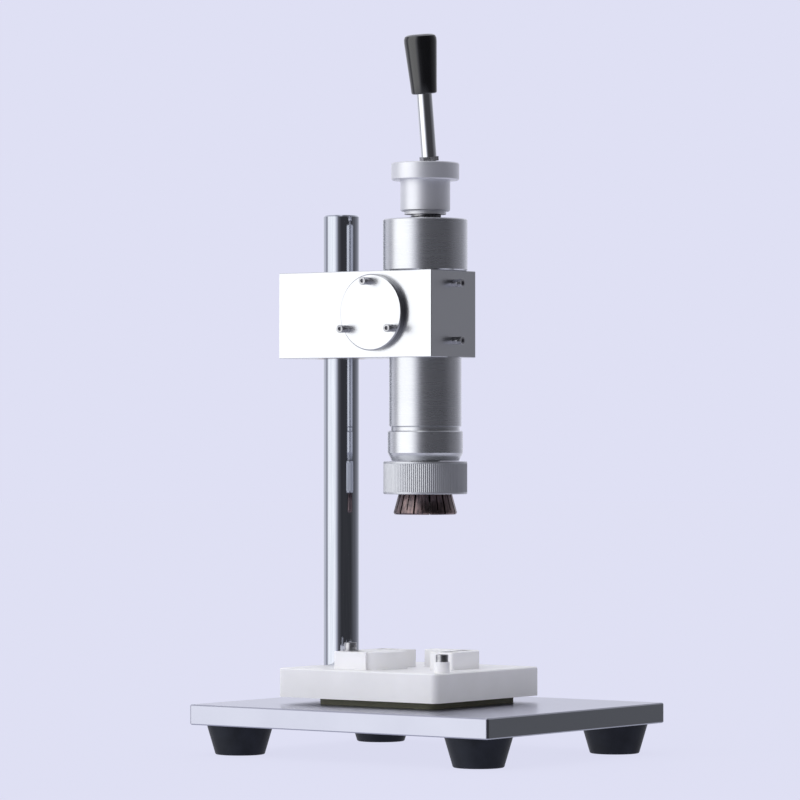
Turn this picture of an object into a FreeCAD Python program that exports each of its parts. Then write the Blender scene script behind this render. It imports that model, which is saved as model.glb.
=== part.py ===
import FreeCAD, Part
import math
import os

V = FreeCAD.Vector

# Benchtop bottle crimper. Millimetres, +Z up. The origin is on the ground under the middle of the
# base plate, +X runs from the post towards the crimping head, +Y to the rear.

# ---- driving dimensions -------------------------------------------------------------------------
BASE_L = 252.0
BASE_W = 212.0
BASE_T = 14.0
BASE_CORNER_R = 2.0
FOOT_H = 20.5
FOOT_TOP_R = 23.0
FOOT_BOTTOM_R = 17.0
FOOT_EDGE = 25.0            # foot centre to the base plate's edge
FOOT_ROOF = 6.5             # rubber left above the screw recess
POST_X = -75.0
POST_R = 12.5
POST_L = 341.5
POST_SOCKET = 2.0
AXIS_PITCH = 73.0           # post centre to crimping-head centre

NEST_L = 136.0
NEST_W = 123.0
NEST_T = 20.0
NEST_LEFT = 9.0             # nest plate's end beyond the post centre
NEST_CORNER_R = 5.0
NEST_GAP = 4.6              # thickness of the rubber sheet under the nest plate
NEST_SHEET_IN = 12.0        # the sheet's edges inside the nest plate's
GUIDE_T = 12.0
POCKET = 31.0               # square pocket that the bottle stands in
GUIDE_TRAVEL = 8.0

HEAD_Z = 273.5
HEAD_H = 60.0
HEAD_W = 52.0
HEAD_POST_END = 35.4        # post centre to the block's left end
BUSH_WALL = 4.5
BUSH_SLIT = 2.0
DISC_R = 26.5
DISC_T = 5.0
DISC_SCREWS = ((-1.5, 21.5), (-20.8, -11.3), (19.5, -11.3))     # from the disc's centre

NECK_WALL = 4.0             # the barrel's neck, round the spring chamber
BARREL_WALL = 10.0          # the barrel, round the spring chamber
BARREL_L = 48.0
CHAMBER_GAP = 1.4           # return spring to the chamber's wall
HEAD_WALL = 5.2             # head block outside the barrel's neck
COLLAR_WALL = 10.2          # collar outside the barrel's neck
COLLAR_H = 35.8
COLLAR_THREAD = 9.5
NOSE_STEP = 1.0             # the nose's band stands out from the barrel
NOSE_BAND = 15.3
NOSE_GROOVE = 2.5
NOSE_GROOVE_IN = 1.2        # the groove's depth below the barrel's surface
NOSE_CHAMFER_H = 5.5
NOSE_CHAMFER_R = 2.7
TUBE_BUSH_WALL = 3.0
BUSH_L = 20.0

PRESS_STROKE = 24.0
KNOB_GAP = 3.3              # collar top to the boss under the knob
KNOB_BOSS_H = 2.2
KNOB_NECK_R = 17.25
KNOB_STOP = 2.9             # flange to the collar top, pressed right down
KNOB_FLANGE_R = 23.5
KNOB_FLANGE_H = 12.1
PIVOT_UP = 5.8              # lever pivot above the flange's underside
TUBE_R = 10.0
TUBE_BORE_R = 5.0
SPRING_WIRE_R = 1.4
SPRING_GAP = 0.8            # plunger tube to the inside of the return spring
SPRING_COILS = 9

LEVER_LEAN = 7.2            # degrees, towards the front, at rest
LEVER_SWING = 80.0          # degrees, towards the rear
LEVER_OFFSET = 4.1          # lever and cam to the right of the plunger's axis
CAM_BASE = 7.0
CAM_W = 10.0
LEVER_R = 5.4
LEVER_TIP_R = 3.0
LEVER_FOOT = 7.5
NUT_H = 3.0
NUT_AF = 11.5
GRIP_START = 54.0
GRIP_L = 41.3
GRIP_BOTTOM_R = 8.8
GRIP_TOP_R = 11.4
GRIP_BORE = 20.0
PIVOT_PIN_R = 3.0

CLOSE_STROKE = 4.0
RING_WALL = 5.0             # knurled ring outside the closing sleeve
RING_H = 22.6
RING_GAP = 0.4              # closing ring to the nose above it
SLEEVE_WALL = 5.2           # closing sleeve outside its mouth
SLEEVE_GAP = 0.3            # sleeve's mouth to the open claws
CROSS_PIN_R = 2.5
CROSS_PIN_DOWN = 4.8        # cross pin's centre below the ring's top
CLAWS = 12
CLAW_SLIT = 1.3
CLAW_DROP = 14.0            # claws below the closing ring
CLAW_ROOT = 4.2             # a claw's root outside its pivot
CLAW_FLARE = 0.3            # widening of the claws down to the sleeve's mouth
CLAW_TIP_FLARE = 3.5        # widening of the claws below the sleeve
CLAW_LIP_R = 10.5
CLAW_PIVOT_IN = 3.0         # claw pivots outside the hub's core
CLAW_PIVOT_UP = 6.8         # claw pivots above the closing ring's lower face
CLAW_RIB = 0.9
HUB_LIP = 2.0               # the two flanges that hold the claws' toes
HUB_WALL = 1.0              # the hub's core round the plunger tube

SCREW_R = 2.5               # M5 screws of the base
SCREW_HEAD_R = 4.25
SCREW_HEAD_H = 5.0
HEAD_SCREW_R = 1.5          # M3 screws of the head
HEAD_SCREW_HEAD_R = 2.75
HEAD_SCREW_HEAD_H = 3.0
HEAD_SCREW_SHOW = 4.8       # shank left bare under these heads
WASHER_R = 5.6
WASHER_T = 1.0

FIT = 0.05                  # running fit, radial
SEAT = 0.02                 # radial gap where one piece is fixed in another
CLEAR = 0.4                 # gap between pieces that pass each other
BREAK = 0.8                 # broken edges

# ---- radii that follow from one another, from the plunger outwards --------------------------------
ROD_R = TUBE_BORE_R - CLEAR
TUBE_BUSH_R = TUBE_R + TUBE_BUSH_WALL
SPRING_COIL_R = TUBE_R + SPRING_GAP + SPRING_WIRE_R
CHAMBER_R = SPRING_COIL_R + SPRING_WIRE_R + CHAMBER_GAP
KNOB_BOSS_R = CHAMBER_R - 0.5
NECK_R = CHAMBER_R + NECK_WALL
BARREL_R = CHAMBER_R + BARREL_WALL
NOSE_R = BARREL_R + NOSE_STEP
COLLAR_R = NECK_R + COLLAR_WALL
HEAD_AXIS_END = NECK_R + HEAD_WALL
HUB_CORE_R = TUBE_R + HUB_WALL
CLAW_PIVOT_R = HUB_CORE_R + CLAW_PIVOT_IN
CLAW_ROOT_R = CLAW_PIVOT_R + CLAW_ROOT
CLAW_MOUTH_R = CLAW_ROOT_R + CLAW_FLARE
CLAW_TIP_R = CLAW_MOUTH_R + CLAW_TIP_FLARE
SLEEVE_MOUTH_R = CLAW_MOUTH_R + SLEEVE_GAP
SLEEVE_R = SLEEVE_MOUTH_R + SLEEVE_WALL
RING_R = SLEEVE_R + RING_WALL

# ---- places worked out from them ----------------------------------------------------------------
BASE_Z = FOOT_H
BASE_TOP = BASE_Z + BASE_T
AXIS_X = POST_X + AXIS_PITCH
LEVER_X = AXIS_X + LEVER_OFFSET
NEST_Z = BASE_TOP + NEST_GAP
NEST_TOP = NEST_Z + NEST_T
NEST_X0 = POST_X - NEST_LEFT
HEAD_TOP = HEAD_Z + HEAD_H
HEAD_X0 = POST_X - HEAD_POST_END
HEAD_X1 = AXIS_X + HEAD_AXIS_END
BARREL_Z = HEAD_Z - BARREL_L
NOSE_TOP = BARREL_Z - NOSE_GROOVE
NOSE_SHOULDER = NOSE_TOP - NOSE_BAND
NOSE_Z = NOSE_SHOULDER - NOSE_CHAMFER_H
NECK_TOP = HEAD_TOP + COLLAR_THREAD
COLLAR_TOP = HEAD_TOP + COLLAR_H
SEAT_Z = HEAD_Z + 36.5
SEAT_T = 2.0
BOSS_Z = COLLAR_TOP + KNOB_GAP
KNOB_Z = BOSS_Z + KNOB_BOSS_H
FLANGE_Z = COLLAR_TOP + PRESS_STROKE + KNOB_STOP
KNOB_TOP = FLANGE_Z + KNOB_FLANGE_H
PIVOT_Z = FLANGE_Z + PIVOT_UP
CAM_RISE = CLOSE_STROKE / math.radians(LEVER_SWING)
CAM_REACH = math.hypot(CAM_BASE + CLOSE_STROKE + 1.0, CAM_RISE)
ROD_TOP = PIVOT_Z - CAM_BASE - FIT
TUBE_TOP = PIVOT_Z - CAM_REACH - 1.2
RING_TOP = NOSE_Z - RING_GAP
RING_Z = RING_TOP - RING_H
CLAW_Z = RING_Z - CLAW_DROP
PIVOT_RING_Z = RING_Z + CLAW_PIVOT_UP
CROSS_Z = RING_TOP - CROSS_PIN_DOWN
ROD_Z = CROSS_Z - CROSS_PIN_R - 2.4
TUBE_Z = RING_Z - 1.2
HUB_Z = PIVOT_RING_Z - 6.0
HUB_TOP = PIVOT_RING_Z + 3.5


# ---- small shape helpers ------------------------------------------------------------------------
def cyl(x, y, z, r, h):
    return Part.makeCylinder(r, h, V(x, y, z))


def tube(x, y, z, r_out, r_in, h):
    return cyl(x, y, z, r_out, h).cut(cyl(x, y, z - 1, r_in, h + 2))


def block(x0, x1, y0, y1, z0, z1):
    return Part.makeBox(x1 - x0, y1 - y0, z1 - z0, V(x0, y0, z0))


def turned(points, x=0.0, y=0.0, angle=360.0):
    """Solid of revolution about the vertical through x, y; points are (radius, height)."""
    wire = Part.makePolygon([V(x + r, y, z) for r, z in points + points[:1]])
    return Part.Face(wire).revolve(V(x, y, 0), V(0, 0, 1), angle)


def edges_at(shape, test):
    return [e for e in shape.Edges if test(e)]


def vertical(edge):
    a = edge.Vertexes[0].Point
    b = edge.Vertexes[-1].Point
    return len(edge.Vertexes) == 2 and abs(a.x - b.x) < 1e-6 and abs(a.y - b.y) < 1e-6


def level_at(z):
    return lambda e: abs(e.BoundBox.ZMin - z) < 1e-6 and abs(e.BoundBox.ZMax - z) < 1e-6


def hexagon(corner_r, z, h, first=0):
    corners = []
    for angle in range(first, first + 361, 60):
        turn = math.radians(angle)
        corners.append(V(corner_r * math.cos(turn), corner_r * math.sin(turn), z))
    return Part.Face(Part.makePolygon(corners)).extrude(V(0, 0, h))


def cap_screw(head_r, head_h, shank_r, under_head):
    """Cap screw with a hexagon socket, pointing down, its head's underside at z = 0."""
    head = cyl(0, 0, 0, head_r, head_h)
    head = head.makeFillet(head_h * 0.12, edges_at(head, level_at(head_h)))
    socket_r = head_r * 0.56
    socket = hexagon(socket_r, head_h * 0.45, head_h)
    shank = cyl(0, 0, -under_head, shank_r, under_head)
    return head.fuse(shank).cut(socket).removeSplitter()


def placed(shape, point, direction=V(0, 0, 1)):
    moved = shape.copy()
    moved.Placement = FreeCAD.Placement(point, FreeCAD.Rotation(V(0, 0, 1), direction))
    return moved


def coil(x, y, z0, z1, coil_r, wire_r, turns):
    """Compression spring whose wire stays between z0 and z1."""
    height = z1 - z0 - 2 * wire_r
    helix = Part.makeHelix(height / turns, height, coil_r)
    profile = Part.Wire(Part.makeCircle(wire_r, V(coil_r, 0, 0), V(0, 1, 0)))
    spring = Part.Wire(helix).makePipeShell([profile], True, True)
    spring.translate(V(x, y, z0 + wire_r))
    return spring


def save(node, *shapes):
    shape = shapes[0] if len(shapes) == 1 else Part.makeCompound(list(shapes))
    shape.exportStep("parts/" + node + ".step")


os.makedirs("parts", exist_ok=True)

# ---- base, feet and post ------------------------------------------------------------------------
foot_x = BASE_L / 2 - FOOT_EDGE
foot_y = BASE_W / 2 - FOOT_EDGE
feet = {
    "foot_front_left": (-foot_x, -foot_y),
    "foot_front_right": (foot_x, -foot_y),
    "foot_rear_left": (-foot_x, foot_y),
    "foot_rear_right": (foot_x, foot_y),
}
recess_z = FOOT_H - FOOT_ROOF
washer_t = 1.5
foot_screw_in = 9.0
foot_washers = []
foot_screws = []
foot_screw = cap_screw(SCREW_HEAD_R, SCREW_HEAD_H, SCREW_R, washer_t + FOOT_ROOF + foot_screw_in)
for name, (x, y) in feet.items():
    foot = turned([(0, 0), (FOOT_BOTTOM_R, 0), (FOOT_TOP_R, FOOT_H), (0, FOOT_H)], x, y)
    foot = foot.makeFillet(1.2, edges_at(foot, level_at(0)))
    foot = foot.cut(cyl(x, y, -1, 8.5, recess_z + 1)).cut(cyl(x, y, 0, SCREW_R + SEAT, FOOT_H + 1))
    save(name, foot)
    foot_washers.append(tube(x, y, recess_z - washer_t, 7.5, SCREW_R + SEAT, washer_t))
    foot_screws.append(placed(foot_screw, V(x, y, recess_z - washer_t), V(0, 0, -1)))
save("foot_washers", *foot_washers)
save("foot_screws", *foot_screws)

bolt_r = 3.0
bolt_head_r = 5.0
bolt_head_h = 6.0
bolt_washer_r = 6.5
bolt_washer_t = 1.2
bolt_in_post = 20.0
bolt_seat_z = BASE_Z + bolt_head_h + bolt_washer_t + 0.3
nest_screw_in_x = (NEST_X0 + 36, NEST_X0 + NEST_L - 22)
nest_screw_in_y = (-NEST_W / 2 + 23.5, NEST_W / 2 - 23.5)
nest_screw_at = [(x, y) for x in nest_screw_in_x for y in nest_screw_in_y]
nest_screw_sunk = SCREW_HEAD_H + 0.5
base = block(-BASE_L / 2, BASE_L / 2, -BASE_W / 2, BASE_W / 2, BASE_Z, BASE_TOP)
base = base.makeFillet(BASE_CORNER_R, edges_at(base, vertical))
base = base.makeChamfer(BREAK, edges_at(base, level_at(BASE_TOP)) + edges_at(base, level_at(BASE_Z)))
base = base.cut(cyl(POST_X, 0, BASE_TOP - POST_SOCKET, POST_R + SEAT, POST_SOCKET + 1))
base = base.cut(cyl(POST_X, 0, BASE_Z - 1, bolt_r + SEAT, BASE_T + 2))
base = base.cut(cyl(POST_X, 0, BASE_Z - 1, bolt_washer_r + CLEAR, bolt_seat_z - BASE_Z + 1))
for x, y in feet.values():
    base = base.cut(cyl(x, y, BASE_Z - 1, SCREW_R + SEAT, foot_screw_in + 2))
for x, y in nest_screw_at:
    base = base.cut(cyl(x, y, BASE_Z - 1, SCREW_HEAD_R + CLEAR, nest_screw_sunk + 1))
    base = base.cut(cyl(x, y, BASE_Z - 1, SCREW_R + SEAT, BASE_T + 2))
save("base_plate", base)

post_z = BASE_TOP - POST_SOCKET
post = cyl(POST_X, 0, post_z, POST_R, POST_L)
post = post.makeChamfer(1.0, edges_at(post, level_at(post_z + POST_L)))
post = post.cut(cyl(POST_X, 0, post_z - 1, bolt_r + SEAT, bolt_in_post + 3))
save("post", post)
washer_z = bolt_seat_z - bolt_washer_t
save("post_washer", tube(POST_X, 0, washer_z, bolt_washer_r, bolt_r + SEAT, bolt_washer_t))
post_bolt = cap_screw(bolt_head_r, bolt_head_h, bolt_r, post_z + bolt_in_post - washer_z)
save("post_bolt", placed(post_bolt, V(POST_X, 0, washer_z), V(0, 0, -1)))

# ---- nest: white plate on a rubber sheet, two sliding guides, a stop bush ----------------------------------
nest_screw_in = 12.0
nest = block(NEST_X0, NEST_X0 + NEST_L, -NEST_W / 2, NEST_W / 2, NEST_Z, NEST_TOP)
nest = nest.makeFillet(NEST_CORNER_R, edges_at(nest, vertical))
nest = nest.makeChamfer(BREAK, edges_at(nest, level_at(NEST_TOP)))
nest = nest.cut(cyl(POST_X, 0, NEST_Z - 1, POST_R + CLEAR, NEST_T + 2))
nest = nest.cut(block(NEST_X0 - 1, POST_X, -POST_R - CLEAR, POST_R + CLEAR, NEST_Z - 1, NEST_TOP + 1))
sheet_x0 = POST_X + POST_R + 4.5
sheet_y = NEST_W / 2 - NEST_SHEET_IN
sheet = block(sheet_x0, NEST_X0 + NEST_L - NEST_SHEET_IN, -sheet_y, sheet_y, BASE_TOP, NEST_Z)
sheet = sheet.makeFillet(NEST_CORNER_R, edges_at(sheet, vertical))
nest_screws = []
nest_screw_l = BASE_T - nest_screw_sunk + NEST_GAP + nest_screw_in
nest_screw = cap_screw(SCREW_HEAD_R, SCREW_HEAD_H, SCREW_R, nest_screw_l)
for x, y in nest_screw_at:
    nest = nest.cut(cyl(x, y, NEST_Z - 1, SCREW_R + SEAT, nest_screw_in + 2))
    sheet = sheet.cut(cyl(x, y, BASE_TOP - 1, SCREW_R + SEAT, NEST_GAP + 2))
    nest_screws.append(placed(nest_screw, V(x, y, BASE_Z + nest_screw_sunk), V(0, 0, -1)))
save("nest_sheet", sheet)
save("nest_screws", *nest_screws)

half = POCKET / 2
guide_z = NEST_TOP
guide_top = guide_z + GUIDE_T
front_x0 = AXIS_X - 44.0
front_y0 = -48.0
front_arm_end = AXIS_X - 4.0
front = block(front_x0, front_arm_end, front_y0, -half, guide_z, guide_top)
corner = edges_at(front, lambda e: vertical(e) and e.BoundBox.XMin > front_arm_end - 1)
corner = [e for e in corner if e.BoundBox.YMax < front_y0 + 1]
front = front.makeFillet(22.0, corner)
front = front.fuse(block(front_x0, AXIS_X - half, front_y0, 10.0, guide_z, guide_top)).removeSplitter()
corner = edges_at(front, lambda e: vertical(e) and e.BoundBox.XMax < front_x0 + 1)
front = front.makeFillet(3.0, corner)
front = front.makeChamfer(BREAK / 2, edges_at(front, level_at(guide_top)))
rear_x0 = AXIS_X - 12.0
rear_x1 = AXIS_X + half + 19.2
rear_y1 = half + 13.0
rear_outline = [
    (AXIS_X + half, -half), (rear_x1, -half), (rear_x1, half), (rear_x1 - 9.7, rear_y1), (rear_x0, rear_y1),
    (rear_x0, half), (AXIS_X + half, half), (AXIS_X + half, -half)]
rear = Part.Face(Part.makePolygon([V(x, y, guide_z) for x, y in rear_outline])).extrude(V(0, 0, GUIDE_T))
corner = edges_at(rear, lambda e: vertical(e) and abs(e.BoundBox.YMin - half) > 1)
corner = [e for e in corner if e.BoundBox.XMin > rear_x1 - 1 or e.BoundBox.XMax < rear_x0 + 1]
rear = rear.makeFillet(2.0, corner)
rear = rear.makeChamfer(BREAK / 2, edges_at(rear, level_at(guide_top)))

guide_screw_in = 10.0
sunk = SCREW_HEAD_H + 0.5
through = GUIDE_T + guide_screw_in
proud_screw = cap_screw(SCREW_HEAD_R, SCREW_HEAD_H, SCREW_R, WASHER_T + through)
sunk_screw = cap_screw(SCREW_HEAD_R, SCREW_HEAD_H, SCREW_R, through - sunk)
guide_screws = []


def slot_cut(x, y, step_x, step_y, r, z):
    """Cutter for a slot open above z, from a screw at x, y to the end of its guide's travel."""
    height = guide_top + 1 - z
    cutter = cyl(x, y, z, r, height).fuse(cyl(x + step_x, y + step_y, z, r, height))
    across = (r * (step_y != 0), r * (step_x != 0))
    low = (min(x, x + step_x) - across[0], min(y, y + step_y) - across[1])
    high = (max(x, x + step_x) + across[0], max(y, y + step_y) + across[1])
    return cutter.fuse(block(low[0], high[0], low[1], high[1], z, z + height)).removeSplitter()


def sunk_in(guide, x, y, step_x, step_y):
    """The guide with a stepped slot for one screw, whose head lies below the guide's top."""
    head_z = guide_top - sunk
    guide_screws.append(placed(sunk_screw, V(x, y, head_z)))
    guide = guide.cut(slot_cut(x, y, step_x, step_y, SCREW_R + CLEAR, guide_z - 1))
    return guide.cut(slot_cut(x, y, step_x, step_y, SCREW_HEAD_R + CLEAR, head_z))


front_screw_at = (front_x0 + 8.0, front_y0 + 10.0)
front_arm_screw_at = (front_x0 + 8.0, 0.0)
rear_screw_at = (AXIS_X + half + 9.5, -2.0)
rear_corner_screw_at = (AXIS_X + half + 6.0, half + 3.5)
front = front.cut(slot_cut(*front_screw_at, GUIDE_TRAVEL, 0, SCREW_R + CLEAR, guide_z - 1))
guide_screws.append(placed(proud_screw, V(*front_screw_at, guide_top + WASHER_T)))
front = sunk_in(front, *front_arm_screw_at, GUIDE_TRAVEL, 0)
rear = sunk_in(rear, *rear_screw_at, 0, -GUIDE_TRAVEL)
rear = sunk_in(rear, *rear_corner_screw_at, 0, -GUIDE_TRAVEL)
for x, y in (front_screw_at, front_arm_screw_at, rear_screw_at, rear_corner_screw_at):
    nest = nest.cut(cyl(x, y, NEST_TOP - guide_screw_in - 1, SCREW_R + SEAT, guide_screw_in + 2))
save("front_guide", front)
save("rear_guide", rear)
save("guide_washer", tube(*front_screw_at, guide_top, WASHER_R, SCREW_R + SEAT, WASHER_T))
save("guide_screws", *guide_screws)

stop_x = NEST_X0 + NEST_L - 8.5
stop_y = -NEST_W / 2 + 18.5
stop_h = 7.3
nest = nest.cut(cyl(stop_x, stop_y, NEST_TOP - guide_screw_in - 1, SCREW_R + SEAT, guide_screw_in + 2))
save("stop_bush", tube(stop_x, stop_y, NEST_TOP, 5.2, SCREW_R + SEAT, stop_h))
stop_screw = cap_screw(SCREW_HEAD_R, SCREW_HEAD_H, SCREW_R, stop_h + guide_screw_in)
save("stop_screw", placed(stop_screw, V(stop_x, stop_y, NEST_TOP + stop_h)))
save("nest_plate", nest)

# ---- head block on its split bush ---------------------------------------------------------------
bush_r = POST_R + FIT + BUSH_WALL
post_bush = tube(POST_X, 0, HEAD_Z, bush_r, POST_R + FIT, HEAD_H)
bush_slit = block(POST_X, POST_X + bush_r + 1, -BUSH_SLIT / 2, BUSH_SLIT / 2, HEAD_Z - 1, HEAD_TOP + 1)
save("post_bush", post_bush.cut(bush_slit))

lock_z = (HEAD_Z + 11.5, HEAD_TOP - 9.0)
lock_end = HEAD_AXIS_END - NECK_R - FIT
post_lock_in = HEAD_POST_END - bush_r - 2 * FIT
disc_x = AXIS_X - 24.3
disc_z = HEAD_Z + HEAD_H / 2 + 1.2
disc_y = -HEAD_W / 2
disc_screw_in = HEAD_W / 2 - NECK_R - CLEAR
head = block(HEAD_X0, HEAD_X1, -HEAD_W / 2, HEAD_W / 2, HEAD_Z, HEAD_TOP)
head = head.makeChamfer(BREAK / 2, head.Edges)
head = head.cut(cyl(POST_X, 0, HEAD_Z - 1, bush_r + FIT, HEAD_H + 2))
head = head.cut(cyl(AXIS_X, 0, HEAD_Z - 1, NECK_R + SEAT, HEAD_H + 2))
disc = Part.makeCylinder(DISC_R, DISC_T, V(disc_x, disc_y, disc_z), V(0, -1, 0))
disc = disc.makeChamfer(BREAK, edges_at(disc, lambda e: e.BoundBox.YMax < disc_y - DISC_T + 0.1))
disc_screws = []
disc_depth = DISC_T + disc_screw_in
disc_screw = cap_screw(HEAD_SCREW_HEAD_R, HEAD_SCREW_HEAD_H, HEAD_SCREW_R, HEAD_SCREW_SHOW + disc_depth)
for off_x, off_z in DISC_SCREWS:
    x, z = disc_x + off_x, disc_z + off_z
    mouth = V(x, disc_y - DISC_T - 1, z)
    hole = Part.makeCylinder(HEAD_SCREW_R + SEAT, disc_depth + 2, mouth, V(0, 1, 0))
    disc = disc.cut(hole)
    head = head.cut(hole)
    disc_screws.append(placed(disc_screw, V(x, disc_y - DISC_T - HEAD_SCREW_SHOW, z), V(0, -1, 0)))
barrel_lock_screws = []
post_lock_screws = []
barrel_lock = cap_screw(HEAD_SCREW_HEAD_R, HEAD_SCREW_HEAD_H, HEAD_SCREW_R, HEAD_SCREW_SHOW + lock_end)
post_lock = cap_screw(HEAD_SCREW_HEAD_R, HEAD_SCREW_HEAD_H, HEAD_SCREW_R, HEAD_SCREW_SHOW + post_lock_in)
for z in lock_z:
    head = head.cut(Part.makeCylinder(HEAD_SCREW_R + SEAT, HEAD_AXIS_END, V(AXIS_X, 0, z), V(1, 0, 0)))
    head = head.cut(Part.makeCylinder(HEAD_SCREW_R + SEAT, HEAD_POST_END, V(POST_X, 0, z), V(-1, 0, 0)))
    barrel_lock_screws.append(placed(barrel_lock, V(HEAD_X1 + HEAD_SCREW_SHOW, 0, z), V(1, 0, 0)))
    post_lock_screws.append(placed(post_lock, V(HEAD_X0 - HEAD_SCREW_SHOW, 0, z), V(-1, 0, 0)))
save("head_block", head)
save("cover_disc", disc)
save("cover_disc_screws", *disc_screws)
save("barrel_lock_screws", *barrel_lock_screws)
save("post_lock_screws", *post_lock_screws)

# ---- barrel, collar and nose --------------------------------------------------------------------
bush_z = SEAT_Z - BUSH_L
barrel = turned([
    (CHAMBER_R, BARREL_Z), (BARREL_R - BREAK, BARREL_Z), (BARREL_R, BARREL_Z + BREAK),
    (BARREL_R, HEAD_Z), (NECK_R, HEAD_Z), (NECK_R, NECK_TOP), (CHAMBER_R, NECK_TOP),
    (CHAMBER_R, SEAT_Z), (TUBE_BUSH_R + SEAT, SEAT_Z), (TUBE_BUSH_R + SEAT, bush_z),
    (CHAMBER_R, bush_z)], AXIS_X)
save("barrel", barrel)
save("upper_bush", tube(AXIS_X, 0, bush_z, TUBE_BUSH_R, TUBE_R + FIT, BUSH_L))
save("spring_seat", tube(AXIS_X, 0, SEAT_Z, CHAMBER_R - CLEAR, TUBE_R + CLEAR, SEAT_T))
collar_bore = KNOB_NECK_R + 1.25
save("barrel_collar", turned([
    (NECK_R + SEAT, HEAD_TOP), (COLLAR_R - BREAK, HEAD_TOP), (COLLAR_R, HEAD_TOP + BREAK),
    (COLLAR_R, COLLAR_TOP - BREAK), (COLLAR_R - BREAK, COLLAR_TOP), (collar_bore, COLLAR_TOP),
    (collar_bore, NECK_TOP), (NECK_R + SEAT, NECK_TOP)], AXIS_X))
nose_spigot = BARREL_Z + 14.0
save("barrel_nose", turned([
    (TUBE_BUSH_R + SEAT, NOSE_Z), (NOSE_R - NOSE_CHAMFER_R, NOSE_Z), (NOSE_R, NOSE_SHOULDER),
    (NOSE_R, NOSE_TOP - BREAK), (NOSE_R - BREAK, NOSE_TOP), (BARREL_R - NOSE_GROOVE_IN, NOSE_TOP),
    (BARREL_R - NOSE_GROOVE_IN, BARREL_Z), (CHAMBER_R - SEAT, BARREL_Z),
    (CHAMBER_R - SEAT, nose_spigot), (TUBE_BUSH_R + SEAT, nose_spigot)], AXIS_X))
save("lower_bush", tube(AXIS_X, 0, NOSE_Z + 2.0, TUBE_BUSH_R, TUBE_R + FIT, nose_spigot - NOSE_Z - 4.0))
save("return_spring", coil(AXIS_X, 0, SEAT_Z + SEAT_T, BOSS_Z, SPRING_COIL_R, SPRING_WIRE_R, SPRING_COILS))

# ---- plunger: knob, tube, pivot pin, hub and centring pad ---------------------------------------
knob = turned([
    (TUBE_R + SEAT, BOSS_Z), (KNOB_BOSS_R, BOSS_Z), (KNOB_BOSS_R, KNOB_Z), (KNOB_NECK_R - BREAK, KNOB_Z),
    (KNOB_NECK_R, KNOB_Z + BREAK), (KNOB_NECK_R, FLANGE_Z), (KNOB_FLANGE_R - BREAK, FLANGE_Z),
    (KNOB_FLANGE_R, FLANGE_Z + BREAK), (KNOB_FLANGE_R, KNOB_TOP - BREAK),
    (KNOB_FLANGE_R - BREAK, KNOB_TOP),
    (0, KNOB_TOP), (0, TUBE_TOP), (TUBE_R + SEAT, TUBE_TOP)], AXIS_X)
cam_room = CAM_REACH + 0.8
well_half = CAM_W / 2 + CLEAR
slot_half = NUT_AF / 2 + CLEAR
slot_floor = FLANGE_Z + 1.8
well = block(LEVER_X - well_half, LEVER_X + well_half, -cam_room, cam_room, TUBE_TOP, KNOB_TOP + 1)
slot = block(LEVER_X - slot_half, LEVER_X + slot_half, 0, KNOB_FLANGE_R + 1, slot_floor, KNOB_TOP + 1)
rod_way = cyl(AXIS_X, 0, TUBE_TOP, TUBE_BORE_R, ROD_TOP + 0.6 - TUBE_TOP)
knob = knob.cut(well).cut(slot).cut(rod_way)
pin_half = KNOB_FLANGE_R - 2.5
pin_end = V(AXIS_X - pin_half, 0, PIVOT_Z)
save("press_knob", knob.cut(Part.makeCylinder(PIVOT_PIN_R + SEAT, 2 * pin_half, pin_end, V(1, 0, 0))))
save("lever_pivot_pin", Part.makeCylinder(PIVOT_PIN_R, 2 * pin_half, pin_end, V(1, 0, 0)))

plunger = tube(AXIS_X, 0, TUBE_Z, TUBE_R, TUBE_BORE_R, TUBE_TOP - TUBE_Z)
pin_gap = CROSS_PIN_R + CLEAR
slot_low = CROSS_Z - CLOSE_STROKE
slot = block(AXIS_X - TUBE_R - 1, AXIS_X + TUBE_R + 1, -pin_gap, pin_gap, slot_low, CROSS_Z)
for z in (slot_low, CROSS_Z):
    slot = slot.fuse(Part.makeCylinder(pin_gap, 2 * TUBE_R + 2, V(AXIS_X - TUBE_R - 1, 0, z), V(1, 0, 0)))
plunger = plunger.cut(slot.removeSplitter())
save("plunger_tube", plunger)

save("collet_hub", turned([
    (TUBE_R + SEAT, HUB_Z), (HUB_CORE_R + HUB_LIP, HUB_Z), (HUB_CORE_R + HUB_LIP, HUB_Z + HUB_LIP),
    (HUB_CORE_R, HUB_Z + HUB_LIP), (HUB_CORE_R, HUB_TOP - HUB_LIP), (CLAW_PIVOT_R + 2.5, HUB_TOP - HUB_LIP),
    (CLAW_PIVOT_R + 2.5, HUB_TOP), (TUBE_R + SEAT, HUB_TOP)], AXIS_X))
pad_stem = TUBE_Z + 4.0
save("centring_pad", turned([
    (0, TUBE_Z - 5.0), (8.2, TUBE_Z - 5.0), (9.0, TUBE_Z - 4.2), (9.0, TUBE_Z), (TUBE_BORE_R - SEAT, TUBE_Z),
    (TUBE_BORE_R - SEAT, pad_stem), (0, pad_stem)], AXIS_X))
save("closing_spring", coil(AXIS_X, 0, pad_stem, ROD_Z, 3.9, 0.5, 4))

# ---- lever: cam foot, rod, jam nut and grip -----------------------------------------------------
lean = math.radians(LEVER_LEAN)
along = V(0, -math.sin(lean), math.cos(lean))
pivot = V(LEVER_X, 0, PIVOT_Z)


def on_lever(shape):
    """Takes a shape drawn about +Z at the origin to the leaning lever's axis, its pivot at the origin."""
    return placed(shape, pivot, along)


def cam_point(angle):
    """Flat-faced follower cam: its reach towards a direction grows evenly with the angle."""
    reach = CAM_BASE + CAM_RISE * angle
    y = reach * math.sin(angle) + CAM_RISE * math.cos(angle)
    z = -reach * math.cos(angle) + CAM_RISE * math.sin(angle)
    return V(LEVER_X - CAM_W / 2, y, PIVOT_Z + z)


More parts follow.
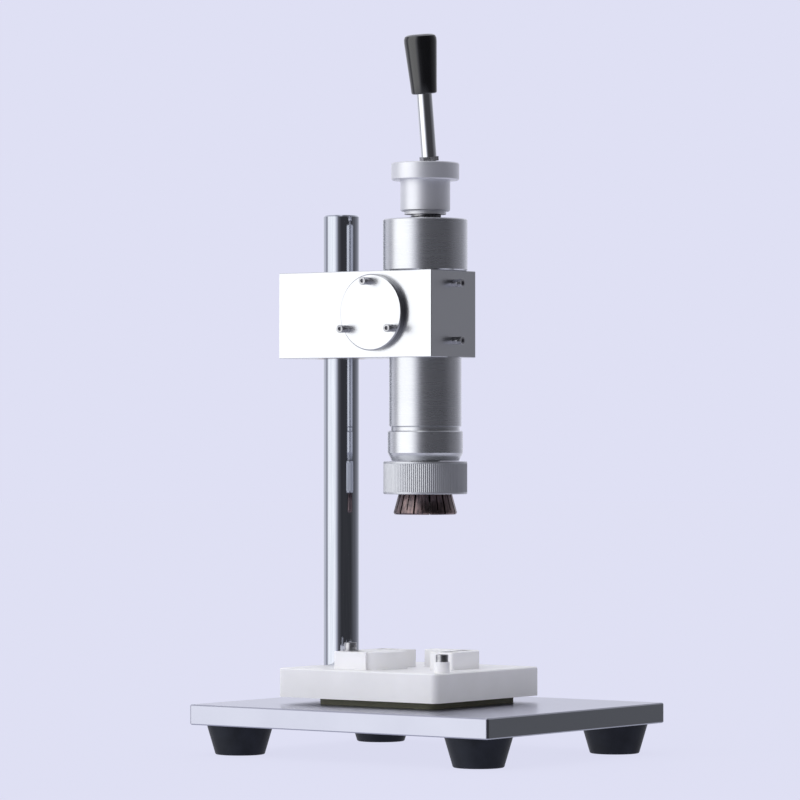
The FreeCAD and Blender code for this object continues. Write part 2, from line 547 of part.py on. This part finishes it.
cam_from = math.radians(-12)
cam_to = math.radians(LEVER_SWING + 12)
flank = [cam_point(cam_from + (cam_to - cam_from) * i / 12) for i in range(13)]
curve = Part.BSplineCurve()
curve.interpolate(flank)
back = [flank[-1], V(flank[-1].x, 5.0, PIVOT_Z + 6.0), V(flank[-1].x, -5.0, PIVOT_Z + 6.0),
        V(flank[-1].x, -5.5, PIVOT_Z - 3.0), flank[0]]
outline = Part.Wire([curve.toShape()] + Part.makePolygon(back).Edges)
cam = Part.Face(outline).extrude(V(CAM_W, 0, 0))
cam = cam.fuse(on_lever(cyl(0, 0, 0, CAM_W / 2 - 0.4, LEVER_FOOT)))
cam = cam.cut(on_lever(cyl(0, 0, PIVOT_PIN_R + 0.6, LEVER_TIP_R + SEAT, LEVER_FOOT)))
bore_end = V(LEVER_X - CAM_W / 2 - 1, 0, PIVOT_Z)
cam = cam.cut(Part.makeCylinder(PIVOT_PIN_R + FIT, CAM_W + 2, bore_end, V(1, 0, 0)))
save("lever_cam", cam.removeSplitter())

nut_corner = NUT_AF / 2 / math.cos(math.radians(30))
nut = hexagon(nut_corner, LEVER_FOOT, NUT_H, 30).cut(cyl(0, 0, 0, LEVER_TIP_R + SEAT, LEVER_FOOT + NUT_H + 1))
save("lever_jam_nut", on_lever(nut))
rod_start = LEVER_FOOT + NUT_H
rod = cyl(0, 0, rod_start, LEVER_R, GRIP_START + GRIP_BORE - rod_start)
rod = rod.fuse(cyl(0, 0, PIVOT_PIN_R + 1.0, LEVER_TIP_R, rod_start)).removeSplitter()
save("lever_rod", on_lever(rod))
grip_end = GRIP_START + GRIP_L
grip = turned([
    (0, GRIP_START), (GRIP_BOTTOM_R - 1.0, GRIP_START), (GRIP_BOTTOM_R, GRIP_START + 1.0),
    (GRIP_TOP_R - 0.8, GRIP_START + GRIP_L * 0.55), (GRIP_TOP_R, grip_end - 4.0),
    (GRIP_TOP_R - 0.8, grip_end - 1.5), (GRIP_TOP_R - 3.0, grip_end - 0.4), (0, grip_end)])
grip = grip.cut(cyl(0, 0, GRIP_START - 1, LEVER_R + SEAT, GRIP_BORE + 1))
save("lever_grip", on_lever(grip))

# ---- closer: push rod, cross pin, closing sleeve and knurled ring -------------------------------
push_rod = cyl(AXIS_X, 0, ROD_Z, ROD_R, ROD_TOP - ROD_Z)
pin_bore = Part.makeCylinder(CROSS_PIN_R + SEAT, 2 * SLEEVE_R, V(AXIS_X - SLEEVE_R, 0, CROSS_Z), V(1, 0, 0))
save("push_rod", push_rod.cut(pin_bore))
cross_end = V(AXIS_X - SLEEVE_R + 0.5, 0, CROSS_Z)
save("cross_pin", Part.makeCylinder(CROSS_PIN_R, 2 * SLEEVE_R - 1.0, cross_end, V(1, 0, 0)))
mouth_h = 4.0
sleeve = turned([
    (SLEEVE_MOUTH_R, RING_Z), (SLEEVE_R, RING_Z), (SLEEVE_R, RING_TOP), (TUBE_R + CLEAR, RING_TOP),
    (TUBE_R + CLEAR, RING_TOP - 1.8), (SLEEVE_MOUTH_R + 0.9, RING_TOP - 1.8),
    (SLEEVE_MOUTH_R + 0.9, RING_Z + mouth_h), (SLEEVE_MOUTH_R, RING_Z + mouth_h)], AXIS_X)
save("closing_sleeve", sleeve.cut(pin_bore))
save("knurled_ring", turned([
    (SLEEVE_R + SEAT, RING_Z), (RING_R - BREAK, RING_Z), (RING_R, RING_Z + BREAK),
    (RING_R, RING_TOP - BREAK), (RING_R - BREAK, RING_TOP), (SLEEVE_R + SEAT, RING_TOP)], AXIS_X))

# ---- claws --------------------------------------------------------------------------------------
pitch = 360.0 / CLAWS
toe_r = HUB_CORE_R + 0.6
inner_r = HUB_CORE_R + 3.2
throat_r = HUB_CORE_R + 1.8
toe_z = HUB_Z + HUB_LIP + 0.6
root_top = HUB_TOP - HUB_LIP - 0.5
claw_profile = [
    (toe_r, toe_z), (toe_r, root_top), (CLAW_ROOT_R, root_top), (CLAW_ROOT_R, RING_Z + 1.0),
    (CLAW_MOUTH_R, RING_Z), (CLAW_TIP_R, CLAW_Z + 1.2), (CLAW_TIP_R - 0.8, CLAW_Z),
    (CLAW_LIP_R + 0.6, CLAW_Z),
    (CLAW_LIP_R, CLAW_Z + 0.6), (CLAW_LIP_R, CLAW_Z + 3.0), (throat_r, CLAW_Z + 4.6), (throat_r, HUB_Z - 0.6),
    (inner_r, HUB_Z - 0.6), (inner_r, toe_z)]
blank = turned(claw_profile, 0, 0, pitch)
side = block(-1, CLAW_TIP_R + 2, -CLAW_SLIT / 2, CLAW_SLIT / 2, CLAW_Z - 1, HUB_TOP + 1)
far_side = side.copy()
far_side.rotate(V(0, 0, 0), V(0, 0, 1), pitch)
blank = blank.cut(side).cut(far_side)
rib = block(CLAW_ROOT_R - 0.6, CLAW_TIP_R + 2, -CLAW_RIB / 2, CLAW_RIB / 2, CLAW_Z - 1, CLAW_Z + CLAW_DROP)
slope = math.degrees(math.atan2(CLAW_TIP_R - CLAW_MOUTH_R, CLAW_DROP))
rib.rotate(V(CLAW_ROOT_R - 0.6, 0, CLAW_Z + CLAW_DROP), V(0, 1, 0), slope)
rib.rotate(V(0, 0, 0), V(0, 0, 1), pitch / 2)
blank = blank.cut(rib)
heel = block(CLAW_PIVOT_R, CLAW_ROOT_R + 1, -CLAW_ROOT_R, CLAW_ROOT_R, PIVOT_RING_Z, HUB_TOP)
pivot_end = V(CLAW_PIVOT_R, -CLAW_ROOT_R - 1, PIVOT_RING_Z)
heel = heel.cut(Part.makeCylinder(CLAW_ROOT, 2 * CLAW_ROOT_R + 2, pivot_end, V(0, 1, 0)))
heel.rotate(V(0, 0, 0), V(0, 0, 1), pitch / 2)
blank = blank.cut(heel)
for i in range(CLAWS):
    claw = blank.copy()
    claw.rotate(V(0, 0, 0), V(0, 0, 1), pitch * (i - 0.5))
    claw.translate(V(AXIS_X, 0, 0))
    save("claw_%d" % (i + 1), claw)
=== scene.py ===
import math

import bmesh
import bpy
from mathutils import Matrix, Vector


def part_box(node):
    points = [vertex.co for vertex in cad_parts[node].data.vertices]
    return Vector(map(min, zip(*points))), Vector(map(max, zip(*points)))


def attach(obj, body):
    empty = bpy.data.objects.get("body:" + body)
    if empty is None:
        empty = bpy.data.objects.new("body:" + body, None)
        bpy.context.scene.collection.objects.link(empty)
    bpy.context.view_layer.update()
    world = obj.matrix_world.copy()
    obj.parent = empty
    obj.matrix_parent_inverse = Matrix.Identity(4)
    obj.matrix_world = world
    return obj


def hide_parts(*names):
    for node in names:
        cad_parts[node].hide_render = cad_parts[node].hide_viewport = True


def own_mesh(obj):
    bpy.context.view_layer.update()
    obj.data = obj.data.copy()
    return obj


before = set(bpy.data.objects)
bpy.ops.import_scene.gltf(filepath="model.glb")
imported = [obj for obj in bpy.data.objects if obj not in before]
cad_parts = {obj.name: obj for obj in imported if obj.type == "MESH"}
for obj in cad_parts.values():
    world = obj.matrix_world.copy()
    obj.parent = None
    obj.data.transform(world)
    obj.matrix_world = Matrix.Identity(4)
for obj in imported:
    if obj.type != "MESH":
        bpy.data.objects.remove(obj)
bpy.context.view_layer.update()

# ---- Base plate ---------------------------------------------------------------------------------
# A sawn and milled aluminium plate, blasted to an even satin and clear anodised. Its edges are
# broken by a small bright chamfer; its two end faces are painted a darker grey, as painted shade.


class Wire:
    """A node socket that can be used in sums; every sum adds its own Math node."""

    def __init__(self, tree, socket):
        self.tree = tree
        self.socket = socket

    def sum(self, operation, *terms):
        node = self.tree.nodes.new("ShaderNodeMath")
        node.operation = operation
        for place, term in zip(node.inputs, terms):
            if isinstance(term, Wire):
                self.tree.links.new(term.socket, place)
            else:
                place.default_value = term
        return Wire(self.tree, node.outputs[0])

    def __add__(self, other):
        return self.sum("ADD", self, other)

    def __radd__(self, other):
        return self.sum("ADD", other, self)

    def __mul__(self, other):
        return self.sum("MULTIPLY", self, other)

    def __rmul__(self, other):
        return self.sum("MULTIPLY", other, self)

    def __abs__(self):
        return self.sum("ABSOLUTE", self)


class Graph:
    """A node tree. A socket is given by its name, or by its number as _0, _1 and so on."""

    def __init__(self, tree):
        self.tree = tree

    def node(self, kind, settings=None, out=0, **inputs):
        node = self.tree.nodes.new(kind)
        for key, value in (settings or {}).items():
            if key == "stops":
                ramp = node.color_ramp
                while len(ramp.elements) < len(value):
                    ramp.elements.new(0.5)
                for stop, (at, colour) in zip(ramp.elements, value):
                    stop.position = at
                    stop.color = (*colour, 1.0)
            else:
                setattr(node, key, value)
        for key, value in inputs.items():
            number = key[1:]
            socket = node.inputs[int(number) if number.isdigit() else key.replace("_", " ")]
            if isinstance(value, Wire):
                self.tree.links.new(value.socket, socket)
            else:
                socket.default_value = value
        return Wire(self.tree, node.outputs[out])

    def span(self, value, low, high):
        """0 where the value is at low, 1 where it is at high."""
        return self.node("ShaderNodeMapRange", _0=value, _1=low, _2=high, _3=0.0, _4=1.0)

    def blend(self, mask, one, other):
        """Colour one where the mask is 0, the other where it is 1."""
        one, other = (c if isinstance(c, Wire) else (*c, 1.0) for c in (one, other))
        return self.node("ShaderNodeMix", {"data_type": "RGBA"}, out=2, _0=mask, _6=one, _7=other)

    def dot(self, one, other):
        return self.node("ShaderNodeVectorMath", {"operation": "DOT_PRODUCT"}, out="Value", _0=one, _1=other)


class Finish(Graph):
    """One material, built up from nodes; constants are set on its shader's own sockets."""

    def __init__(self, name, **constants):
        self.material = bpy.data.materials.new(name)
        self.material.use_nodes = True
        super().__init__(self.material.node_tree)
        self.shader = self.tree.nodes["Principled BSDF"]
        for socket, value in constants.items():
            self.shader.inputs[socket.replace("_", " ")].default_value = value
        self.place = self.node("ShaderNodeNewGeometry", out="Position")

    def noise(self, scale, detail=3.0, stretch=(1.0, 1.0, 1.0)):
        place = self.node("ShaderNodeVectorMath", {"operation": "MULTIPLY"}, _0=self.place, _1=stretch)
        return self.node("ShaderNodeTexNoise", Vector=place, Scale=scale, Detail=detail, Roughness=0.55)

    def feed(self, socket, wire):
        self.tree.links.new(wire.socket, self.shader.inputs[socket])

    def mottle(self, mask, low, high, one, other):
        """Base colour one where the mask is below low, the other where it is above high."""
        self.feed("Base Color", self.blend(self.span(mask, low, high), one, other))

    def bump(self, height, distance, strength):
        bump = self.node("ShaderNodeBump", Height=height, Distance=distance, Strength=strength)
        self.feed("Normal", bump)


def paint(finish, *nodes):
    for name in nodes:
        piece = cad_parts[name]
        piece.data.materials.clear()
        piece.data.materials.append(finish.material)


def blasted(name, dark, light, axis, low, high, cut):
    """Blasted skin; faces turn to the colour cut as their direction along the axis goes from low to high.
    That colour is painted shade.
    """
    finish = Finish(name, Metallic=1.0)
    cloud = finish.noise(14.0, 4.0)
    grain = finish.noise(2600.0, 2.0)
    facing = finish.node("ShaderNodeTexCoord", out="Normal")
    skin = finish.blend(finish.span(cloud, 0.3, 0.7), dark, light)
    # Painted shade: faces picked out by their direction take the colour cut in place of the blasted skin.
    finish.mottle(abs(finish.dot(facing, axis)), low, high, skin, cut)
    finish.feed("Roughness", 0.24 + 0.05 * cloud + 0.05 * grain)
    finish.bump(grain, 0.00003, 0.4)
    return finish


LENGTHWISE = (1.0, 0.0, 0.0)
FRONTWARD = (0.0, 1.0, 0.0)
# The plate's two end faces are painted the dark grey given last here, as painted shade.
paint(blasted("base_plate_finish", (0.47, 0.478, 0.56), (0.52, 0.528, 0.61),
              LENGTHWISE, 0.5, 0.9, (0.317, 0.332, 0.354)), "base_plate")

# ---- Head block and cover disc ------------------------------------------------------------------
# The same blasted aluminium, left brighter; its end faces are held at its darker tone, as painted shade. The
# disc is turned: its face is blasted with the block's, and its rim is painted dark grey, as painted shade.
BLOCK_DARK = (0.70, 0.71, 0.735)
BLOCK_LIGHT = (0.76, 0.768, 0.795)
# Painted shade: the block's end faces are held at BLOCK_DARK.
paint(blasted("plate_aluminium_finish", BLOCK_DARK, BLOCK_LIGHT, LENGTHWISE, 0.5, 0.9, BLOCK_DARK),
      "head_block")
# Painted shade: the disc's rim is painted the dark grey given here.
paint(blasted("cover_disc_finish", BLOCK_DARK, BLOCK_LIGHT, FRONTWARD, 0.9, 0.5, (0.22, 0.225, 0.24)),
      "cover_disc")

# ---- Feet ---------------------------------------------------------------------------------------
# Four moulded rubber cones, each screwed up into the base plate through a steel washer that sits
# in the foot's recess. Matt black with a dusty bloom.
rubber = Finish("foot_rubber_finish", Specular_IOR_Level=0.22)
bloom = rubber.noise(60.0, 4.0)
rubber.mottle(bloom, 0.35, 0.75, (0.007, 0.009, 0.014), (0.016, 0.019, 0.028))
rubber.feed("Roughness", 0.42 + 0.15 * bloom)
rubber.bump(rubber.noise(1800.0, 2.0), 0.00005, 0.4)
paint(rubber, "foot_front_left", "foot_front_right", "foot_rear_left", "foot_rear_right")

# ---- Screws and washers -------------------------------------------------------------------------
# Stainless cap screws with hexagon sockets, and turned washers, with a slight smear of oil.
steel = Finish("screw_steel_finish", Metallic=1.0)
smear = steel.noise(300.0, 3.0)
steel.mottle(smear, 0.35, 0.65, (0.36, 0.36, 0.38), (0.55, 0.55, 0.57))
steel.feed("Roughness", 0.22 + 0.16 * smear)
steel.bump(steel.noise(3000.0, 2.0), 0.00002, 0.4)
paint(steel, "foot_washers", "foot_screws", "post_bolt", "post_washer", "nest_screws",
      "guide_screws", "guide_washer", "stop_screw", "cover_disc_screws", "barrel_lock_screws",
      "post_lock_screws", "spring_seat")

# ---- Post ---------------------------------------------------------------------------------------
# A ground and hard-chromed steel bar, mirror bright with a few hair-fine lengthwise rubs where the
# head slides on it.
chrome = Finish("post_chrome_finish", Metallic=1.0)
rubs = chrome.noise(90.0, 3.0, (12.0, 12.0, 0.25))
chrome.mottle(rubs, 0.4, 0.7, (0.50, 0.525, 0.585), (0.58, 0.60, 0.66))
chrome.feed("Roughness", 0.05 + 0.07 * chrome.span(rubs, 0.55, 0.8))
chrome.bump(rubs, 0.00001, 0.25)
paint(chrome, "post")

# ---- Nest ---------------------------------------------------------------------------------------
# Milled white plastic: a thick plate, two slotted guides on it and a small stop bush. The plastic
# is slightly waxy and takes in a little light; the cutter left very faint swirls.
nest = Finish("nest_plastic_finish", Subsurface_Weight=0.25, Subsurface_Radius=(0.004, 0.004, 0.0045))
milk = nest.noise(40.0, 3.0)
nest.mottle(milk, 0.3, 0.7, (0.86, 0.855, 0.865), (0.91, 0.905, 0.915))
nest.feed("Roughness", 0.38 + 0.12 * milk)
nest.bump(nest.noise(700.0, 2.0, (1.0, 0.15, 1.0)), 0.00004, 0.35)
paint(nest, "nest_plate", "front_guide", "rear_guide", "stop_bush")

# ---- Nest sheet ---------------------------------------------------------------------------------
# A thin sheet of olive-grey rubber between the nest and the base plate; it is painted shade, its dark colour
# standing in for the shadow in the gap under the nest.
sheet = Finish("nest_sheet_shade_finish", Specular_IOR_Level=0.3)
shade_marbling = sheet.noise(120.0, 4.0)
# Painted shade: both olive tones are dark to stand for the shadow in the gap under the nest.
sheet.feed("Base Color", sheet.blend(shade_marbling, (0.14, 0.138, 0.09), (0.25, 0.245, 0.17)))
sheet.feed("Roughness", 0.5 + 0.2 * shade_marbling)
sheet.bump(sheet.noise(1500.0, 2.0), 0.00004, 0.5)
paint(sheet, "nest_sheet")

# ---- Bushes -------------------------------------------------------------------------------------
# Bronze sleeves that line the head block round the post and the barrel round the plunger tube.
bronze = Finish("bronze_finish", Metallic=1.0)
pores = bronze.noise(2200.0, 2.0)
bronze.mottle(pores, 0.35, 0.65, (0.36, 0.20, 0.08), (0.52, 0.33, 0.15))
bronze.feed("Roughness", 0.35 + 0.2 * pores)
bronze.bump(pores, 0.00003, 0.5)
paint(bronze, "post_bush", "upper_bush", "lower_bush")

# ---- Barrel, collar and nose --------------------------------------------------------------------
# Turned from aluminium bar: the tool leaves fine rings round the axis, seen as a satin sheen.


def turned_metal(name, dark, light, roughness, metallic, blasted_over):
    finish = Finish(name, Metallic=metallic)
    rings = finish.noise(900.0, 2.0, (0.02, 0.02, 1.0))
    patch = finish.noise(30.0, 3.0)
    finish.mottle(patch, 0.3, 0.7, dark, light)
    finish.feed("Roughness", roughness + 0.08 * rings + 0.04 * patch)
    if blasted_over:
        finish.bump(finish.noise(3200.0, 2.0), 0.00004, 0.6)
    else:
        finish.bump(rings, 0.000004, 0.12)
    return finish


turned = turned_metal("turned_aluminium_finish", (0.66, 0.67, 0.70), (0.72, 0.73, 0.755), 0.22, 0.94, False)
paint(turned, "barrel", "barrel_collar", "barrel_nose")

# ---- Press knob ---------------------------------------------------------------------------------
# The palm-sized knob on top of the plunger, of the same bar but bead blasted, so it shines less.
frosted = turned_metal("press_knob_finish", (0.76, 0.765, 0.80), (0.82, 0.825, 0.86), 0.40, 0.80, True)
paint(frosted, "press_knob")

# ---- Closing ring -------------------------------------------------------------------------------
# Aluminium ring with a fine straight knurl between two plain bands, pressed on the steel sleeve.


def lathe(name, body, node, finish, columns):
    """Closed solid round Z; columns gives, turn by turn, the (radius, height) points round it."""
    shape = bmesh.new()
    rows = []
    for i, column in enumerate(columns):
        angle = 2 * math.pi * i / len(columns)
        rows.append([shape.verts.new((r * math.cos(angle), r * math.sin(angle), z)) for r, z in column])
    for near, far in zip(rows, rows[1:] + rows[:1]):
        for j, corner in enumerate(near):
            k = (j + 1) % len(near)
            face = shape.faces.new((corner, far[j], far[k], near[k]))
            face.smooth = True
    bmesh.ops.remove_doubles(shape, verts=shape.verts, dist=1e-7)
    bmesh.ops.recalc_face_normals(shape, faces=shape.faces)
    for edge in shape.edges:
        if edge.is_manifold and edge.calc_face_angle() > math.radians(35):
            edge.smooth = False
    mesh = bpy.data.meshes.new(name)
    shape.to_mesh(mesh)
    shape.free()
    mesh.materials.append(finish.material)
    piece = bpy.data.objects.new(name, mesh)
    bpy.context.scene.collection.objects.link(piece)
    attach(piece, body)
    if node:
        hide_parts(node)
    return piece


ring_low, ring_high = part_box("knurled_ring")
axis_x = sum(corner.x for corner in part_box("barrel")) / 2
ring_r = (ring_high.x - ring_low.x) / 2
ring_h = ring_high.z - ring_low.z
ring_bore_r = 0.02402
ring_edge = 0.0006
ring_band = 0.0014
knurls = 132
knurl_depth = 0.00024
KNURL_SHAPE = (0.0, 0.75, 1.0, 0.75)
knurled = []
for i in range(knurls * len(KNURL_SHAPE)):
    cut = knurl_depth * KNURL_SHAPE[i % len(KNURL_SHAPE)]
    half = [(ring_bore_r, 0.0), (ring_r - ring_edge, 0.0), (ring_r - ring_edge / 3, ring_edge / 3),
            (ring_r, ring_edge), (ring_r, ring_band), (ring_r - cut, ring_band + cut)]
    knurled.append(half + [(ring_r - cut, ring_h / 2)] + [(r, ring_h - z) for r, z in reversed(half)])
matt = turned_metal("knurled_ring_finish", (0.58, 0.59, 0.62), (0.66, 0.67, 0.70), 0.34, 0.88, True)
closing_ring = lathe("closing_ring_knurled", "closer", "knurled_ring", matt, knurled)
closing_ring.data.transform(Matrix.Translation((axis_x, 0.0, ring_low.z)))

# ---- Lock nuts ----------------------------------------------------------------------------------
# Tall stainless hexagon nuts, run down the shanks of the head's seven screws against its faces so
# that the screws hold their setting: three on the cover disc, two on each end of the block.
disc_low, disc_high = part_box("cover_disc")
block_low, block_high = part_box("head_block")
disc_middle = (disc_low + disc_high) / 2
disc_screws = ((-0.0015, 0.0215), (-0.0208, -0.0113), (0.0195, -0.0113))
end_screw_z = (block_low.z + 0.0115, block_high.z - 0.009)
nut_feet = [((disc_middle.x + x, disc_low.y, disc_middle.z + z), (0.0, -1.0, 0.0)) for x, z in disc_screws]
for z in end_screw_z:
    nut_feet += [((block_high.x, 0.0, z), (1.0, 0.0, 0.0)), ((block_low.x, 0.0, z), (-1.0, 0.0, 0.0))]
nut_flat = 0.0025
nut_bore = 0.00155
nut_tall = 0.0045
nut_edge = 0.0003
nut_steps = 48
nut_outline = []
for i in range(nut_steps):
    corner_r = nut_flat / math.cos(math.radians(360 / nut_steps * i % 60 - 30))
    face_r = min(corner_r, nut_flat * 1.05)
    nut_outline.append([(nut_bore, 0.0), (face_r, 0.0), (corner_r, nut_edge), (corner_r, nut_tall - nut_edge),
                        (face_r, nut_tall), (nut_bore, nut_tall)])
for i, (foot, out) in enumerate(nut_feet):
    nut = lathe("lock_nut_%d" % (i + 1), "head", None, steel, nut_outline)
    turn = Vector(out).to_track_quat("Z", "Y").to_matrix().to_4x4()
    nut.data.transform(Matrix.Translation(foot) @ turn)

# ---- Inner steel pieces -------------------------------------------------------------------------
# Ground tool steel: plunger tube, hub, cam, pins, push rod and the closing sleeve.
tool = Finish("tool_steel_finish", Metallic=1.0)
ground = tool.noise(800.0, 3.0, (1.0, 1.0, 0.1))
tool.mottle(ground, 0.35, 0.65, (0.30, 0.30, 0.315), (0.42, 0.42, 0.435))
tool.feed("Roughness", 0.2 + 0.15 * ground)
tool.bump(ground, 0.00001, 0.4)
paint(tool, "plunger_tube", "lever_pivot_pin", "collet_hub", "lever_cam", "push_rod", "cross_pin",
      "closing_sleeve", "lever_jam_nut")

# ---- Claws --------------------------------------------------------------------------------------
# Twelve spring-steel claws, blackened and then polished on their flared outsides, with a thin
# copper-brown tint left where the blacking has rubbed through.
claw = Finish("claw_steel_finish", Metallic=1.0)
rubbed = claw.noise(700.0, 3.0, (1.0, 1.0, 0.12))
claw.mottle(rubbed, 0.35, 0.7, (0.13, 0.105, 0.11), (0.34, 0.245, 0.24))
claw.feed("Roughness", 0.22 + 0.16 * rubbed)
claw.bump(claw.noise(2500.0, 2.0), 0.00002, 0.4)
paint(claw, *["claw_%d" % (i + 1) for i in range(12)])

# ---- Springs ------------------------------------------------------------------------------------
# Round-wire compression springs: the big one lifts the press knob, the small one the closing ring.
# At full travel the real springs are down to 0.6 of their length; the coils built here do not shorten.
wire_steel = Finish("spring_steel_finish", Metallic=1.0)
oil = wire_steel.noise(400.0, 3.0)
wire_steel.mottle(oil, 0.3, 0.7, (0.22, 0.22, 0.24), (0.42, 0.42, 0.44))
wire_steel.feed("Roughness", 0.2 + 0.15 * oil)
wire_steel.bump(oil, 0.00002, 0.4)


def coil_spring(name, node, body, wire_r, turns):
    low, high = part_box(node)
    coil_r = (high.x - low.x) / 2 - wire_r
    curve = bpy.data.curves.new(name, "CURVE")
    curve.dimensions = "3D"
    curve.bevel_depth = wire_r
    curve.bevel_resolution = 5
    curve.use_fill_caps = True
    steps = 28 * turns
    spline = curve.splines.new("POLY")
    spline.points.add(steps)
    for i, point in enumerate(spline.points):
        share = i / steps
        angle = 2 * math.pi * turns * share
        z = low.z + wire_r + (high.z - low.z - 2 * wire_r) * share
        point.co = (axis_x + coil_r * math.cos(angle), coil_r * math.sin(angle), z, 1.0)
    wire = bpy.data.objects.new(name, curve)
    bpy.context.scene.collection.objects.link(wire)
    mesh = bpy.data.meshes.new_from_object(wire)
    bpy.data.objects.remove(wire)
    mesh.materials.append(wire_steel.material)
    for face in mesh.polygons:
        face.use_smooth = True
    spring = bpy.data.objects.new(name, mesh)
    bpy.context.scene.collection.objects.link(spring)
    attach(spring, body)
    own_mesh(spring)
    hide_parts(node)


coil_spring("knob_return_spring", "return_spring", "head", 0.0014, 9)
coil_spring("ring_return_spring", "closing_spring", "plunger", 0.0005, 4)

# ---- Lever rod and grip -------------------------------------------------------------------------
# A bright-chromed rod screwed into the cam and locked by a thin nut, with a moulded black grip that
# widens to a domed end.
bright = Finish("lever_chrome_finish", Metallic=1.0)
haze = bright.noise(120.0, 3.0, (6.0, 6.0, 0.5))
bright.mottle(haze, 0.35, 0.7, (0.70, 0.71, 0.74), (0.78, 0.79, 0.81))
bright.feed("Roughness", 0.06 + 0.08 * haze)
bright.bump(haze, 0.00001, 0.2)
paint(bright, "lever_rod")
gloss = Finish("grip_plastic_finish", Specular_IOR_Level=0.95)
flow = gloss.noise(50.0, 3.0)
gloss.mottle(flow, 0.3, 0.7, (0.002, 0.002, 0.0025), (0.005, 0.005, 0.006))
gloss.feed("Roughness", 0.07 + 0.08 * flow)
gloss.bump(gloss.noise(1500.0, 2.0), 0.00002, 0.3)
paint(gloss, "centring_pad")
lever_lean = math.radians(7.2)
lever_pivot = Vector((0.0021, 0.0, 0.402))
grip_profile = [
    (0.0057, 0.0540), (0.0080, 0.0540), (0.0087, 0.0545), (0.0089, 0.0554), (0.0093, 0.0620),
    (0.0099, 0.0700), (0.0105, 0.0780), (0.0110, 0.0850), (0.01135, 0.0895), (0.0113, 0.0920),
    (0.0105, 0.0939), (0.0088, 0.0948), (0.0055, 0.0952), (0.0002, 0.0952), (0.0002, 0.0742),
    (0.0057, 0.0742)]
grip = lathe("lever_grip_moulded", "lever", "lever_grip", gloss, [grip_profile] * 96)
grip.data.transform(Matrix.Translation(lever_pivot) @ Matrix.Rotation(lever_lean, 4, "X"))

# ---- Studio -------------------------------------------------------------------------------------
# A pale lavender room: one wide white softbox to the left of the camera, black cards to its right,
# and a floor of the same pale tone.
PALE = (0.7380, 0.7455, 0.9050)
floor_mesh = bpy.data.meshes.new("studio_floor")
shape = bmesh.new()
bmesh.ops.create_circle(shape, cap_ends=True, segments=96, radius=12.0)
shape.to_mesh(floor_mesh)
shape.free()
floor = bpy.data.objects.new("studio_floor", floor_mesh)
bpy.context.scene.collection.objects.link(floor)
pale_floor = Finish("studio_floor_finish", Base_Color=(0.05, 0.05, 0.055, 1.0), Roughness=0.9,
                    Specular_IOR_Level=0.0, Emission_Color=(*PALE, 1.0), Emission_Strength=0.934)
floor_mesh.materials.append(pale_floor.material)
floor.visible_glossy = False

# The room's brightness all the way round, a little bluer where it is dim: the softbox is at 0.25 to
# 0.38 of a turn, the black cards at 0.45 to 0.8, and half a turn is the camera's own direction.
to_camera = Vector((0.5956, -0.8033, 0.0))
to_right = Vector((0.8033, 0.5956, 0.0))
room_levels = [
    (0.0, 0.95), (0.10, 0.80), (0.165, 0.75), (0.18, 0.42), (0.215, 0.48), (0.245, 1.5),
    (0.38, 1.5), (0.415, 0.8), (0.45, 0.15), (0.50, 0.055), (0.68, 0.055), (0.74, 0.14),
    (0.80, 0.22), (0.84, 0.30), (0.89, 0.55), (0.95, 0.85)]
room_stops = []
for at, level in room_levels:
    blue = 1.12 if level < 1.0 else 1.02
    room_stops.append((at, (level, level * 1.01, level * blue)))
world = bpy.data.worlds.new("studio")
bpy.context.scene.world = world
world.use_nodes = True
world.node_tree.nodes.clear()
room = Graph(world.node_tree)
direction = room.node("ShaderNodeTexCoord", out="Generated")
ahead = room.dot(direction, to_camera)
aside = room.dot(direction, to_right)
turn = ahead.sum("ARCTAN2", aside, ahead) * (1 / (2 * math.pi)) + 0.5
walls = room.node("ShaderNodeValToRGB", {"stops": room_stops}, _0=turn)
below = room.span(room.node("ShaderNodeSeparateXYZ", out="Z", _0=direction), -0.25, -0.6)
around = room.node("ShaderNodeBackground", Color=room.blend(below, walls, (0.62, 0.63, 0.74)))
plain = room.node("ShaderNodeBackground", Color=(*PALE, 1.0))
seen = room.node("ShaderNodeLightPath", out="Is Camera Ray")
soft = room.node("ShaderNodeLightPath", out="Is Diffuse Ray")
fill = room.node("ShaderNodeBackground", Color=(0.95, 0.96, 1.0, 1.0), Strength=soft * 0.48)
lit = room.node("ShaderNodeAddShader", _0=around, _1=fill)
either = room.node("ShaderNodeMixShader", _0=seen, _1=lit, _2=plain)
output = world.node_tree.nodes.new("ShaderNodeOutputWorld")
world.node_tree.links.new(either.socket, output.inputs[0])

# The camera stands low in front of the right-hand corner, well back, with a long lens, and looks
# up a little.
camera = bpy.data.objects.new("camera", bpy.data.cameras.new("camera"))
bpy.context.scene.collection.objects.link(camera)
camera.data.sensor_width = 36.0
camera.data.lens = 193.3
camera.data.clip_end = 60.0
camera.location = (1.7536, -2.3972, 0.2175)
pitch = 0.009
look = Vector((0.0, 0.0, math.sin(pitch))) - to_camera * math.cos(pitch)
camera.rotation_euler = look.to_track_quat("-Z", "Y").to_euler()
bpy.context.scene.camera = camera
bpy.context.scene.view_settings.view_transform = "Standard"
